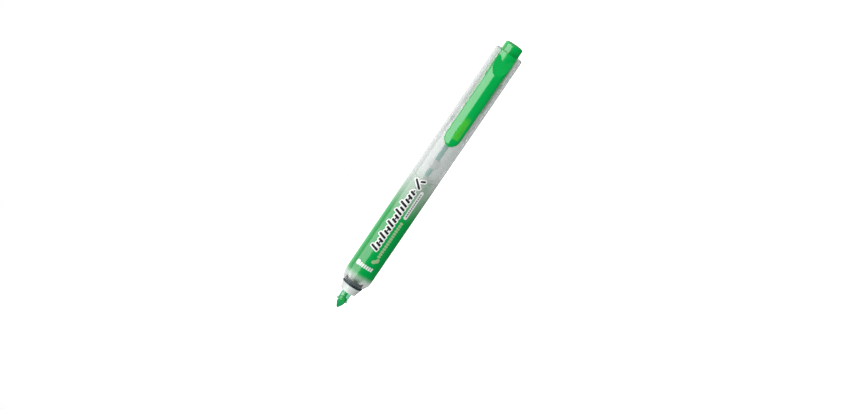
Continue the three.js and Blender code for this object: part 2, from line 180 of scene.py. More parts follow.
def combine(piece, tool, operation):
    """Cuts the tool out of a piece, joins it on or keeps what both share, and takes it away."""
    choose(piece)
    cut = piece.modifiers.new("cut", "BOOLEAN")
    cut.operation = operation
    cut.solver = "EXACT"
    cut.object = tool
    bpy.ops.object.modifier_apply(modifier=cut.name)
    bpy.data.objects.remove(tool)


barrel_front, barrel_back = stations("barrel_tube")
barrel = turned(
    "barrel",
    [
        (barrel_front, 4.6), (barrel_front, 5.0), (barrel_front + 0.15, 5.2), (14.4, 5.68),
        (15.2, 6.12), (15.9, 6.42), (16.6, 6.62), (17.4, 6.74), (18.4, barrel_r), (30, barrel_r),
        (50, barrel_r), (70, barrel_r), (90, barrel_r), (110, barrel_r), (127, barrel_r),
        (barrel_back - 0.5, barrel_r), (barrel_back - 0.2, barrel_r - 0.08),
        (barrel_back - 0.04, barrel_r - 0.26), (barrel_back, barrel_r - 0.45),
        (barrel_back, barrel_bore_r + 0.15), (barrel_back - 0.15, barrel_bore_r),
        (127, barrel_bore_r), (90, barrel_bore_r), (50, barrel_bore_r), (17.4, barrel_bore_r),
        (16, 5.55), (barrel_front, 4.6),
    ],
    sides=128,
)
slot_front = 128
slot_half_width = 4.2
slot_cutter = block(
    "slot_cutter",
    (slot_front, 3, -slot_half_width),
    (barrel_back + 5, barrel_r + 2, slot_half_width),
    corner=0.4,
)
combine(barrel, slot_cutter, "DIFFERENCE")
finished(barrel, bevel=0.1)


def empty_material(name):
    """A new material with nothing in its node tree."""
    material = bpy.data.materials.new(name)
    material.use_nodes = True
    material.node_tree.nodes.clear()
    return material, material.node_tree.nodes, material.node_tree.links


def frosted_plastic(name, colour, ink_colour, ink_front, ink_back):
    """Milky see-through plastic, smooth outside, with a printed band of ink between two fades."""
    material, nodes, links = empty_material(name)
    output = nodes.new("ShaderNodeOutputMaterial")
    output.label = "frosted barrel"
    shader = nodes.new("ShaderNodeBsdfPrincipled")
    shader.label = "milky plastic under a glossy skin"
    shader.inputs["IOR"].default_value = 1.07
    shader.inputs["Coat Weight"].default_value = 0.7
    shader.inputs["Coat Roughness"].default_value = 0.035
    shader.inputs["Coat IOR"].default_value = 1.5
    links.new(shader.outputs["BSDF"], output.inputs["Surface"])

    printed = nodes.new("NodeFrame")
    printed.label = "printed band"
    place = nodes.new("ShaderNodeTexCoord")
    place.label = "place on the pen"
    parts = nodes.new("ShaderNodeSeparateXYZ")
    parts.label = "station along the pen"
    links.new(place.outputs["Object"], parts.inputs["Vector"])
    front = nodes.new("ShaderNodeMapRange")
    front.label = "ink fades in behind the cone"
    front.interpolation_type = "SMOOTHSTEP"
    front.inputs["From Min"].default_value = on_axis(ink_front[0]).x
    front.inputs["From Max"].default_value = on_axis(ink_front[1]).x
    links.new(parts.outputs["X"], front.inputs["Value"])
    back = nodes.new("ShaderNodeMapRange")
    back.label = "ink fades out towards the clip"
    back.interpolation_type = "SMOOTHSTEP"
    back.inputs["From Min"].default_value = on_axis(ink_back[1]).x
    back.inputs["From Max"].default_value = on_axis(ink_back[0]).x
    links.new(parts.outputs["X"], back.inputs["Value"])
    band = nodes.new("ShaderNodeMath")
    band.label = "ink between the two fades"
    band.operation = "MULTIPLY"
    links.new(front.outputs["Result"], band.inputs[0])
    links.new(back.outputs["Result"], band.inputs[1])

    outside = nodes.new("NodeFrame")
    outside.label = "outside of the wall only"
    centred = nodes.new("ShaderNodeMapping")
    centred.label = "measured from the pen's axis"
    centred.inputs["Location"].default_value = (0, -axis_y, -axis_z)
    centred.inputs["Scale"].default_value = (0, 1, 1)
    links.new(place.outputs["Object"], centred.inputs["Vector"])
    radius = nodes.new("ShaderNodeVectorMath")
    radius.label = "distance from the axis"
    radius.operation = "LENGTH"
    links.new(centred.outputs["Vector"], radius.inputs[0])
    skin = nodes.new("ShaderNodeMath")
    skin.label = "outer skin"
    skin.operation = "GREATER_THAN"
    skin.inputs[1].default_value = (barrel_bore_r + 0.2) * MM
    links.new(radius.outputs["Value"], skin.inputs[0])
    ink = nodes.new("ShaderNodeMath")
    ink.label = "amount of ink"
    ink.operation = "MULTIPLY"
    links.new(band.outputs["Value"], ink.inputs[0])
    links.new(skin.outputs["Value"], ink.inputs[1])

    body = nodes.new("NodeFrame")
    body.label = "milky body"
    clouds = nodes.new("ShaderNodeTexNoise")
    clouds.label = "flow marks in the moulding"
    clouds.inputs["Scale"].default_value = 160
    clouds.inputs["Detail"].default_value = 3
    links.new(place.outputs["Object"], clouds.inputs["Vector"])
    milk = nodes.new("ShaderNodeMix")
    milk.label = "slightly uneven milkiness"
    milk.data_type = "RGBA"
    milk.inputs["A"].default_value = (*[c * 0.97 for c in colour], 1)
    milk.inputs["B"].default_value = (*colour, 1)
    links.new(clouds.outputs["Fac"], milk.inputs["Factor"])
    tint = nodes.new("ShaderNodeMix")
    tint.label = "plastic or ink"
    tint.data_type = "RGBA"
    tint.inputs["B"].default_value = (*ink_colour, 1)
    links.new(ink.outputs["Value"], tint.inputs["Factor"])
    links.new(milk.outputs["Result"], tint.inputs["A"])
    links.new(tint.outputs["Result"], shader.inputs["Base Color"])

    light = nodes.new("NodeFrame")
    light.label = "light through the wall"
    through = nodes.new("ShaderNodeMapRange")
    through.label = "ink blocks most of the light"
    through.inputs["To Max"].default_value = 0.06
    links.new(ink.outputs["Value"], through.inputs["Value"])
    unprinted = nodes.new("ShaderNodeMapRange")
    unprinted.label = "milkier behind the cone"
    unprinted.inputs["To Min"].default_value = 0.96
    unprinted.inputs["To Max"].default_value = 0.84
    links.new(front.outputs["Result"], unprinted.inputs["Value"])
    links.new(unprinted.outputs["Result"], through.inputs["To Min"])
    links.new(through.outputs["Result"], shader.inputs["Transmission Weight"])
    frost = nodes.new("ShaderNodeMapRange")
    frost.label = "roughness of the frost"
    frost.inputs["To Min"].default_value = 0.2
    frost.inputs["To Max"].default_value = 0.26
    links.new(clouds.outputs["Fac"], frost.inputs["Value"])
    cone = nodes.new("ShaderNodeMapRange")
    cone.label = "clearer over the cone"
    cone.inputs["To Min"].default_value = 0.8
    links.new(front.outputs["Result"], cone.inputs["Value"])
    clearer = nodes.new("ShaderNodeMath")
    clearer.label = "frost along the barrel"
    clearer.operation = "MULTIPLY"
    links.new(frost.outputs["Result"], clearer.inputs[0])
    links.new(cone.outputs["Result"], clearer.inputs[1])
    links.new(clearer.outputs["Value"], shader.inputs["Roughness"])
    grain = nodes.new("ShaderNodeTexNoise")
    grain.label = "fine grain of the mould"
    grain.inputs["Scale"].default_value = 2600
    grain.inputs["Detail"].default_value = 2
    links.new(place.outputs["Object"], grain.inputs["Vector"])
    relief = nodes.new("ShaderNodeBump")
    relief.label = "grain under the skin"
    relief.inputs["Strength"].default_value = 0.1
    relief.inputs["Distance"].default_value = 0.02 * MM
    links.new(grain.outputs["Fac"], relief.inputs["Height"])
    links.new(relief.outputs["Normal"], shader.inputs["Normal"])
    for node, x, y, group in (
        (output, 1300, 0, None), (shader, 1000, 0, None), (place, -1100, 0, printed),
        (parts, -900, 0, printed), (front, -650, 150, printed), (back, -650, -150, printed),
        (band, -420, 0, printed), (centred, -900, -450, outside), (radius, -650, -450, outside),
        (skin, -420, -450, outside), (ink, -200, -100, None), (clouds, -420, 350, body),
        (milk, -200, 350, body), (tint, 300, 250, None), (through, 300, -50, light),
        (unprinted, 60, -50, light), (frost, 300, -300, light), (cone, 300, -800, light),
        (clearer, 620, -300, light), (grain, 300, -560, light), (relief, 620, -500, light),
    ):
        node.location = (x, y)
        node.parent = group
    return material


barrel_material = frosted_plastic(
    "frosted_plastic",
    colour=(0.82, 0.85, 0.835),
    ink_colour=(0.0, 0.37, 0.068),
    ink_front=(16, 20.8),
    ink_back=(50, 79),
)
barrel.data.materials.append(barrel_material)
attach(barrel, "barrel")
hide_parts("barrel_tube")

# ---- Clear nose ---------------------------------------------------------------------------------
# Clear polypropylene nose with a rounded mouth that the nib comes through. It has a small step, a
# slightly conical body, and a spigot that is pushed into the barrel.

nose_front, nose_back = stations("nose_ring")
nose_shoulder = 12.55
nose = turned(
    "nose",
    [
        (nose_front, 3.2), (nose_front, 3.5), (nose_front + 0.06, 3.72), (nose_front + 0.2, 3.92),
        (nose_front + 0.42, 4.06), (nose_front + 0.7, 4.14), (10.7, 4.26), (10.7, 4.44),
        (11.4, 4.62), (nose_shoulder, 4.88), (nose_shoulder, 3.8), (nose_back, 3.8),
        (nose_back, 3.35), (nose_back - 0.15, 3.2), (nose_front, 3.2),
    ],
    bevel=0.06,
)


def clear_plastic(name, colour, edge_colour, roughness, transmission, index=1.3, gloss=1.0):
    """Moulded see-through plastic with a smooth skin, deeper in colour where it is seen edge-on."""
    material, nodes, links = empty_material(name)
    output = nodes.new("ShaderNodeOutputMaterial")
    output.label = "clear plastic"
    shader = nodes.new("ShaderNodeBsdfPrincipled")
    shader.label = "see-through body under a skin"
    shader.inputs["IOR"].default_value = index
    shader.inputs["Transmission Weight"].default_value = transmission
    shader.inputs["Coat Weight"].default_value = gloss
    shader.inputs["Coat Roughness"].default_value = 0.05
    links.new(shader.outputs["BSDF"], output.inputs["Surface"])
    depth = nodes.new("NodeFrame")
    depth.label = "colour with depth"
    place = nodes.new("ShaderNodeTexCoord")
    place.label = "place on the pen"
    flow = nodes.new("ShaderNodeTexNoise")
    flow.label = "melt flow"
    flow.inputs["Scale"].default_value = 240
    flow.inputs["Detail"].default_value = 3
    links.new(place.outputs["Object"], flow.inputs["Vector"])
    middle = nodes.new("ShaderNodeMix")
    middle.label = "slightly uneven colour"
    middle.data_type = "RGBA"
    middle.inputs["A"].default_value = (*[c * 0.95 for c in colour], 1)
    middle.inputs["B"].default_value = (*colour, 1)
    links.new(flow.outputs["Fac"], middle.inputs["Factor"])
    facing = nodes.new("ShaderNodeLayerWeight")
    facing.label = "wall seen edge-on"
    facing.inputs["Blend"].default_value = 0.3
    tone = nodes.new("ShaderNodeMix")
    tone.label = "deeper at the edges"
    tone.data_type = "RGBA"
    tone.inputs["B"].default_value = (*edge_colour, 1)
    links.new(facing.outputs["Facing"], tone.inputs["Factor"])
    links.new(middle.outputs["Result"], tone.inputs["A"])
    links.new(tone.outputs["Result"], shader.inputs["Base Color"])
    haze = nodes.new("ShaderNodeMapRange")
    haze.label = "haze"
    haze.inputs["To Min"].default_value = roughness * 0.9
    haze.inputs["To Max"].default_value = roughness * 1.1
    links.new(flow.outputs["Fac"], haze.inputs["Value"])
    links.new(haze.outputs["Result"], shader.inputs["Roughness"])
    for node, x, y, group in (
        (output, 700, 0, None), (shader, 400, 0, None), (place, -800, 0, None),
        (flow, -600, 0, None), (middle, -350, 250, depth), (facing, -600, 400, depth),
        (tone, -100, 250, depth), (haze, -350, -100, None),
    ):
        node.location = (x, y)
        node.parent = group
    return material


nose_plastic = clear_plastic(
    "nose_plastic",
    (0.86, 0.91, 0.89),
    edge_colour=(0.76, 0.70, 0.69),
    roughness=0.4,
    transmission=0.4,
    gloss=0.25,
)
nose.data.materials.append(nose_plastic)
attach(nose, "barrel")
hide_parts("nose_ring")

# ---- Rubber ring --------------------------------------------------------------------------------
# Black elastomer ring that seals the nose to the barrel. Its bead shows between them, and its skirt
# goes back inside the barrel, with one side left open for the flap.

ring_front, ring_back = stations("front_seal_ring")
ring_bead_back = barrel_front - 0.1
rubber_ring = turned(
    "rubber_ring",
    [
        (ring_front, 3.9), (ring_front, 4.9), (ring_front + 0.12, 5.05), (ring_front + 0.35, 5.13),
        (ring_bead_back - 0.25, 5.13), (ring_bead_back, 5.0), (ring_bead_back, 4.45),
        (ring_back, 4.45), (ring_back, 3.9), (ring_front, 3.9),
    ],
)
flap_room = block("flap_room", (barrel_front + 0.1, -5, -4.6), (ring_back + 1, -1, 4.6), corner=0.3)
combine(rubber_ring, flap_room, "DIFFERENCE")
finished(rubber_ring, bevel=0.05)


def opaque(
    name,
    body,
    mottle,
    hollows,
    tops,
    roughness,
    relief=(0.2, 0.01),
    gloss=(0.5, 0.0),
    metal=0.0,
    glow=0.0,
):
    """An opaque surface whose colour, sheen and height all follow one fine mottle.

    body says what it is. mottle is what shows on it, with its scale and detail. hollows and tops
    are the two colours, roughness is at the same two, relief is the strength of the mottle and
    its height in millimetres, and gloss is that of the body and of a clear skin over it."""
    material, nodes, links = empty_material(name)
    output = nodes.new("ShaderNodeOutputMaterial")
    output.label = name
    shader = nodes.new("ShaderNodeBsdfPrincipled")
    shader.label = body
    shader.inputs["Metallic"].default_value = metal
    shader.inputs["Emission Color"].default_value = (1, 1, 1, 1)
    shader.inputs["Emission Strength"].default_value = glow
    shader.inputs["Specular IOR Level"].default_value = gloss[0]
    shader.inputs["Coat Weight"].default_value = gloss[1]
    shader.inputs["Coat Roughness"].default_value = 0.08
    links.new(shader.outputs["BSDF"], output.inputs["Surface"])
    surface = nodes.new("NodeFrame")
    surface.label = "surface"
    place = nodes.new("ShaderNodeTexCoord")
    place.label = "place on the pen"
    marks = nodes.new("ShaderNodeTexNoise")
    marks.label = mottle[0]
    marks.inputs["Scale"].default_value = mottle[1]
    marks.inputs["Detail"].default_value = mottle[2]
    links.new(place.outputs["Object"], marks.inputs["Vector"])
    tone = nodes.new("ShaderNodeMix")
    tone.label = "colour between hollows and tops"
    tone.data_type = "RGBA"
    tone.inputs["A"].default_value = (*hollows, 1)
    tone.inputs["B"].default_value = (*tops, 1)
    links.new(marks.outputs["Fac"], tone.inputs["Factor"])
    links.new(tone.outputs["Result"], shader.inputs["Base Color"])
    sheen = nodes.new("ShaderNodeMapRange")
    sheen.label = "uneven sheen"
    sheen.inputs["To Min"].default_value = roughness[0]
    sheen.inputs["To Max"].default_value = roughness[1]
    links.new(marks.outputs["Fac"], sheen.inputs["Value"])
    links.new(sheen.outputs["Result"], shader.inputs["Roughness"])
    height = nodes.new("ShaderNodeBump")
    height.label = "relief of the mottle"
    height.inputs["Strength"].default_value = relief[0]
    height.inputs["Distance"].default_value = relief[1] * MM
    links.new(marks.outputs["Fac"], height.inputs["Height"])
    links.new(height.outputs["Normal"], shader.inputs["Normal"])
    for node, x, y, group in (
        (output, 700, 0, None), (shader, 400, 0, None), (place, -800, 0, surface),
        (marks, -600, 0, surface), (tone, -300, 200, surface), (sheen, -300, -50, surface),
        (height, -300, -300, surface),
    ):
        node.location = (x, y)
        node.parent = group
    return material


def rubber(name, colour):
    """Matt elastomer, paler where it is scuffed."""
    scuffed = [c * 2.2 for c in colour]
    scuffs = ("scuffs", 900, 5)
    return opaque(name, "elastomer", scuffs, colour, scuffed, (0.38, 0.6), (0.3, 0.02), (0.2, 0.0))


black_rubber = rubber("black_rubber", (0.008, 0.022, 0.028))
rubber_ring.data.materials.append(black_rubber)
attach(rubber_ring, "barrel")
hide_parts("front_seal_ring")

# ---- Seal chamber, flap and pin -----------------------------------------------------------------
# A sea-green tube inside the barrel keeps the nib moist when it is drawn in, and a rubber flap on a
# steel pin closes its mouth. A gasket at its back wipes the refill, and a white cap holds the gasket.


def finish_cad(cad_node, material):
    """Gives a CAD node that keeps its shape a new material."""
    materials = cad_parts[cad_node].data.materials
    materials.clear()
    materials.append(material)


chamber_plastic = clear_plastic(
    "chamber_plastic",
    (0.06, 0.32, 0.26),
    edge_colour=(0.04, 0.22, 0.19),
    roughness=0.2,
    transmission=0.35,
    index=1.1,
)
finish_cad("seal_chamber", chamber_plastic)
finish_cad("shutter_flap", rubber("sea_green_rubber", (0.03, 0.26, 0.2)))

gasket_front, gasket_back = stations("chamber_gasket")
gasket_lip_r = 3.05
gasket = turned(
    "chamber_gasket_ring",
    [
        (gasket_front, gasket_lip_r), (gasket_front, 4.2), (gasket_back, 4.2),
        (gasket_back, gasket_lip_r), (gasket_back - 0.35, gasket_lip_r + 0.25),
        (gasket_front + 0.35, gasket_lip_r + 0.25), (gasket_front, gasket_lip_r),
    ],
)
gasket.data.materials.append(black_rubber)
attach(gasket, "barrel")
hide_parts("chamber_gasket")

cap_front, cap_back = stations("gasket_cap")
cap_outer_r = 4.48
cap_inner_r = 4.3
gasket_holder = turned(
    "gasket_holder",
    [
        (cap_front, cap_inner_r), (cap_front, cap_outer_r), (cap_back - 0.2, cap_outer_r),
        (cap_back, cap_outer_r - 0.2), (cap_back, 3.2), (gasket_back + 0.1, 3.15),
        (gasket_back + 0.1, cap_inner_r), (cap_front, cap_inner_r),
    ],
    bevel=0.04,
)


def satin_plastic(name, colour, roughness):
    """Opaque moulded plastic with a satin surface."""
    deeper = [c * 0.9 for c in colour]
    sheen = (roughness * 0.85, roughness * 1.15)
    return opaque(name, "moulded plastic", ("pigment mottle", 420, 4), deeper, colour, sheen)


white_acetal = satin_plastic("white_acetal", (0.80, 0.82, 0.79), 0.35)
gasket_holder.data.materials.append(white_acetal)
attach(gasket_holder, "barrel")
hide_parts("gasket_cap")

# ---- Return spring ------------------------------------------------------------------------------
# Spring steel wire wound round the chamber. It pushes the refill back. A circle of wire is swept by a
# screw.

wire_r = 0.25
spring_r = 4.93
spring_turns = 10
spring_front, spring_back = stations("return_spring")
spring_travel = spring_back - spring_front - 2 * wire_r
bpy.ops.object.select_all(action="DESELECT")
bpy.ops.mesh.primitive_circle_add(
    vertices=12,
    radius=wire_r * MM,
    location=on_axis(spring_front + wire_r),
    rotation=(math.pi / 2, 0, 0),
)
spring = bpy.context.object
spring.name = "spring_coil"
bpy.ops.object.transform_apply(location=False, rotation=True, scale=False)
bpy.ops.object.mode_set(mode="EDIT")
bpy.ops.mesh.select_all(action="SELECT")
bpy.ops.transform.translate(value=(0, 0, spring_r * MM))
bpy.ops.object.mode_set(mode="OBJECT")
winding = spring.modifiers.new("winding", "SCREW")
winding.axis = "X"
winding.angle = 2 * math.pi
winding.screw_offset = spring_travel / spring_turns * MM
winding.iterations = spring_turns
winding.steps = 28
winding.render_steps = 28
bpy.ops.object.modifier_apply(modifier=winding.name)
bpy.ops.object.mode_set(mode="EDIT")
bpy.ops.mesh.select_all(action="SELECT")
bpy.ops.mesh.fill_holes(sides=0)
bpy.ops.mesh.select_all(action="SELECT")
bpy.ops.mesh.normals_make_consistent(inside=False)
bpy.ops.object.mode_set(mode="OBJECT")
finished(spring)

spring_steel = opaque(
    "spring_steel",
    "drawn wire",
    mottle=("die marks", 1500, 4),
    hollows=(0.46, 0.46, 0.47),
    tops=(0.66, 0.67, 0.69),
    roughness=(0.2, 0.36),
    relief=(0, 0.01),
    metal=1.0,
)
spring.data.materials.append(spring_steel)
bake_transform(spring)
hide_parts("return_spring")
finish_cad("shutter_pin", spring_steel)

# ---- Nib ----------------------------------------------------------------------------------------
# Bonded polyester fibre, soaked with green ink, ground to a chisel by two flat faces and a slant
# along one side. It is turned as a bullet, cut with planes, and roughened as felt is.

nib_r = 2.05
bullet_back = 4.4
bullet_steps = 9
bullet = [
    (
        bullet_back * i / bullet_steps,
        0.3 + (nib_r - 0.3) * math.sin(i / bullet_steps * math.pi / 2) ** 0.9,
    )
    for i in range(bullet_steps + 1)
]
nib_back = stations("nib")[1]
stem_r = 0.8
nib = turned(
    "chisel_nib",
    [*bullet, (5.2, nib_r), (5.55, 1.75), (5.9, stem_r), (nib_back, stem_r), (nib_back, 0.3)],
    sides=64,
)
face_angle = math.radians(17.2)
face_offset = Vector((0, 0.32, 0)) * MM
slant_angle = math.radians(30)
slant_offset = Vector((0, 0, 0.3)) * MM
flats = [
    (on_axis(0) + face_offset, (-math.sin(face_angle), math.cos(face_angle), 0)),
    (on_axis(0) - face_offset, (-math.sin(face_angle), -math.cos(face_angle), 0)),
    (on_axis(0) + slant_offset, (-math.sin(slant_angle), 0, math.cos(slant_angle))),
]
bpy.ops.object.mode_set(mode="EDIT")
for point, outwards in flats:
    bpy.ops.mesh.select_all(action="SELECT")
    bpy.ops.mesh.bisect(plane_co=point, plane_no=outwards, use_fill=True, clear_outer=True)
bpy.ops.object.mode_set(mode="OBJECT")
grinding = nib.modifiers.new("worn edges", "REMESH")
grinding.mode = "VOXEL"
grinding.voxel_size = 0.1 * MM
bpy.ops.object.modifier_apply(modifier=grinding.name)
wear = nib.modifiers.new("wear", "SMOOTH")
wear.iterations = 2
bpy.ops.object.modifier_apply(modifier=wear.name)
fibres = bpy.data.textures.new("fibres", "CLOUDS")
fibres.noise_scale = 0.35 * MM
roughening = nib.modifiers.new("roughened felt", "DISPLACE")
roughening.texture = fibres
roughening.texture_coords = "LOCAL"
roughening.strength = 0.035 * MM
roughening.mid_level = 0.6
bpy.ops.object.modifier_apply(modifier=roughening.name)
finished(nib)


def inked_felt(name, colour):
    """Bonded fibre running along the pen, wet with ink."""
    material, nodes, links = empty_material(name)
    output = nodes.new("ShaderNodeOutputMaterial")
    output.label = "inked felt"
    shader = nodes.new("ShaderNodeBsdfPrincipled")
    shader.label = "wet fibre"
    shader.inputs["Specular IOR Level"].default_value = 0.15
    shader.inputs["Subsurface Weight"].default_value = 0.15
    shader.inputs["Subsurface Radius"].default_value = (0.2, 1.0, 0.4)
    shader.inputs["Subsurface Scale"].default_value = 0.4 * MM
    links.new(shader.outputs["BSDF"], output.inputs["Surface"])
    felt = nodes.new("NodeFrame")
    felt.label = "fibres"
    place = nodes.new("ShaderNodeTexCoord")
    place.label = "place on the pen"
    lie = nodes.new("ShaderNodeMapping")
    lie.label = "fibres lie along the pen"
    lie.inputs["Scale"].default_value = (0.12, 1, 1)
    links.new(place.outputs["Object"], lie.inputs["Vector"])
    strands = nodes.new("ShaderNodeTexNoise")
    strands.label = "strands"
    strands.inputs["Scale"].default_value = 5200
    strands.inputs["Detail"].default_value = 4
    links.new(lie.outputs["Vector"], strands.inputs["Vector"])
    wetness = nodes.new("ShaderNodeTexNoise")
    wetness.label = "wetter and drier patches"
    wetness.inputs["Scale"].default_value = 500
    links.new(place.outputs["Object"], wetness.inputs["Vector"])
    tone = nodes.new("ShaderNodeMix")
    tone.label = "ink between strands"
    tone.data_type = "RGBA"
    tone.inputs["A"].default_value = (*[c * 0.6 for c in colour], 1)
    tone.inputs["B"].default_value = (*[c * 1.15 for c in colour], 1)
    links.new(strands.outputs["Fac"], tone.inputs["Factor"])
    links.new(tone.outputs["Result"], shader.inputs["Base Color"])
    wet = nodes.new("ShaderNodeMapRange")
    wet.label = "wet sheen"
    wet.inputs["To Min"].default_value = 0.4
    wet.inputs["To Max"].default_value = 0.85
    links.new(wetness.outputs["Fac"], wet.inputs["Value"])
    links.new(wet.outputs["Result"], shader.inputs["Roughness"])
    relief = nodes.new("ShaderNodeBump")
    relief.label = "strand relief"
    relief.inputs["Strength"].default_value = 0.6
    relief.inputs["Distance"].default_value = 0.03 * MM
    links.new(strands.outputs["Fac"], relief.inputs["Height"])
    links.new(relief.outputs["Normal"], shader.inputs["Normal"])
    for node, x, y, group in (
        (output, 700, 0, None), (shader, 400, 0, None), (place, -1000, 0, felt),
        (lie, -800, 0, felt), (strands, -600, 100, felt), (wetness, -600, -200, felt),
        (tone, -300, 200, felt), (wet, -300, -100, felt), (relief, -300, -350, felt),
    ):
        node.location = (x, y)
        node.parent = group
    return material


green_felt = inked_felt("green_felt", (0.0, 0.34, 0.09))
nib.data.materials.append(green_felt)
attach(nib, "refill")
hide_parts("nib")

# ---- Refill -------------------------------------------------------------------------------------
# The nib sits in a clear holder with a thin lip, which casts no shadow on it. Behind it are the neck
# that slides in the gasket, a white shoulder for the spring, the ink tube with its soaked core, a tail
# plug, and the push rod with its pale collar. All of them are turned.

holder_front, holder_back = stations("nib_holder")
holder_r = 2.43
lip_r = 2.9
holder = turned(
    "nib_holder_tube",
    [
        (holder_front, nib_r + 0.1), (holder_front, holder_r - 0.05),
        (holder_front + 0.1, lip_r - 0.12), (holder_front + 0.2, lip_r),
        (holder_front + 0.42, lip_r), (holder_front + 0.55, lip_r - 0.15),
        (holder_front + 0.75, holder_r + 0.02), (holder_front + 1.1, holder_r),
        (holder_back, holder_r), (holder_back, 1.75), (nib_back + 0.2, 1.75),
        (nib_back + 0.2, nib_r + 0.1), (holder_front, nib_r + 0.1),
    ],
)
holder.visible_shadow = False
holder_plastic = clear_plastic(
    "holder_plastic",
    (0.55, 0.94, 0.72),
    edge_colour=(0.15, 0.62, 0.36),
    roughness=0.05,
    transmission=1.0,
    index=1.06,
    gloss=0.5,
)

neck_front, neck_back = stations("feed_neck")
neck_r = 3.0
neck = turned(
    "refill_neck",
    [
        (neck_front, 1.75), (neck_front, 2.6), (neck_front + 0.2, 2.86), (neck_front + 0.5, neck_r),
        (neck_back, neck_r), (neck_back, 1.75), (neck_front, 1.75),
    ],
    bevel=0.05,
)

wick_front, wick_back = stations("feed_wick")
wick_r = 1.6
wick = turned(
    "wick",
    [(wick_front, 0.3), (wick_front, wick_r), (wick_back, wick_r), (wick_back, 0.3)],
    bevel=0.1,
    sides=32,
)

shoulder_front, shoulder_back = stations("refill_shoulder")
shoulder = turned(
    "spring_shoulder",
    [
        (shoulder_front, neck_r + 0.1), (shoulder_front, 5.2), (shoulder_back, 5.2),
        (shoulder_back, neck_r + 0.1), (shoulder_front, neck_r + 0.1),
    ],
    bevel=0.12,
)

tube_front, tube_back = stations("ink_tube")
tube_r = 4.6
ink_tube = turned(
    "ink_tube_wall",
    [
        (tube_front, neck_r + 0.1), (tube_front, 4.0), (tube_front + 0.2, 4.4),
        (tube_front + 0.6, tube_r), (tube_back, tube_r), (tube_back, 4.0), (tube_front + 1.4, 4.0),
        (tube_front + 1.2, 3.8), (tube_front + 1.2, neck_r + 0.1), (tube_front, neck_r + 0.1),
    ],
    bevel=0.05,
)

core_front, core_back = stations("ink_core")
core_r = 3.85
core = turned(
    "ink_reservoir",
    [(core_front, 0.4), (core_front, core_r), (core_back, core_r), (core_back, 0.4)],
    bevel=0.25,
    sides=64,
)

plug_front, plug_back = stations("tail_plug")
plug = turned(
    "refill_tail_plug",
    [
        (plug_front, 0.4), (plug_front, 3.6), (plug_front + 0.3, 3.9), (tube_back + 0.1, 3.9),
        (tube_back + 0.1, tube_r), (plug_back - 0.7, tube_r), (plug_back - 0.3, 3.9),
        (plug_back, 2.2), (plug_back, 0.4),
    ],
    bevel=0.08,
)

rod_front, rod_back = stations("push_rod")
rod_r = 1.25
rod = turned(
    "push_rod_shaft",
    [
        (rod_front, 0.2), (rod_front, rod_r), (rod_back - 0.6, rod_r), (rod_back - 0.2, 1.05),
        (rod_back, 0.8), (rod_back, 0.2),
    ],
    bevel=0.08,
    sides=48,
)
rod_plastic = satin_plastic("rod_plastic", (0.0, 0.38, 0.32), 0.35)

collar_front, collar_back = stations("tail_collar")
collar_r = 2.6
collar = turned(
    "rod_collar",
    [
        (collar_front, rod_r + 0.1), (collar_front, 1.9), (collar_front + 0.4, 1.95),
        (collar_front + 0.7, 2.35), (collar_front + 1.2, collar_r), (collar_back - 1.2, collar_r),
        (collar_back - 0.7, 2.35), (collar_back - 0.4, 1.95), (collar_back, 1.9),
        (collar_back, rod_r + 0.1), (collar_front, rod_r + 0.1),
    ],
)
collar_plastic = clear_plastic(
    "collar_plastic",
    (0.96, 0.96, 0.955),
    edge_colour=(0.9, 0.9, 0.9),
    roughness=0.2,
    transmission=0.35,
    index=1.15,
    gloss=0.5,
)

refill_pieces = [
    (holder, "nib_holder", holder_plastic, "refill_plastic"),
    (neck, "feed_neck", holder_plastic, "refill_plastic"),
    (wick, "feed_wick", green_felt, "ink_felt"),
    (shoulder, "refill_shoulder", white_acetal, "white_plastic"),
    (ink_tube, "ink_tube", holder_plastic, "refill_plastic"),
    (core, "ink_core", green_felt, "ink_felt"),
    (plug, "tail_plug", collar_plastic, "clear_plastic"),
    (rod, "push_rod", rod_plastic, "rod_plastic"),
    (collar, "tail_collar", collar_plastic, "clear_plastic"),
]
for piece, cad_node, material, finish in refill_pieces:
    piece.data.materials.append(material)
    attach(piece, "refill")
    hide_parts(cad_node)

# ---- Click cam ----------------------------------------------------------------------------------
# A white acetal rotor that turns in a clear sleeve as its three lugs follow the sleeve's tracks. The
# sleeve is pressed into the barrel.

finish_cad("cam_rotor", white_acetal)
sleeve_plastic = clear_plastic(
    "sleeve_plastic",
    (0.95, 0.96, 0.95),
    edge_colour=(0.88, 0.9, 0.89),
    roughness=0.05,
    transmission=1.0,
    index=1.08,
    gloss=0.1,
)
finish_cad("cam_sleeve", sleeve_plastic)

# ---- Button -------------------------------------------------------------------------------------
# Green polypropylene. A long hollow skirt slides in the barrel, with a crown of six teeth at its front
# that knocks the cam. The cap stands out of the barrel's end. It is turned, and the teeth are cut.

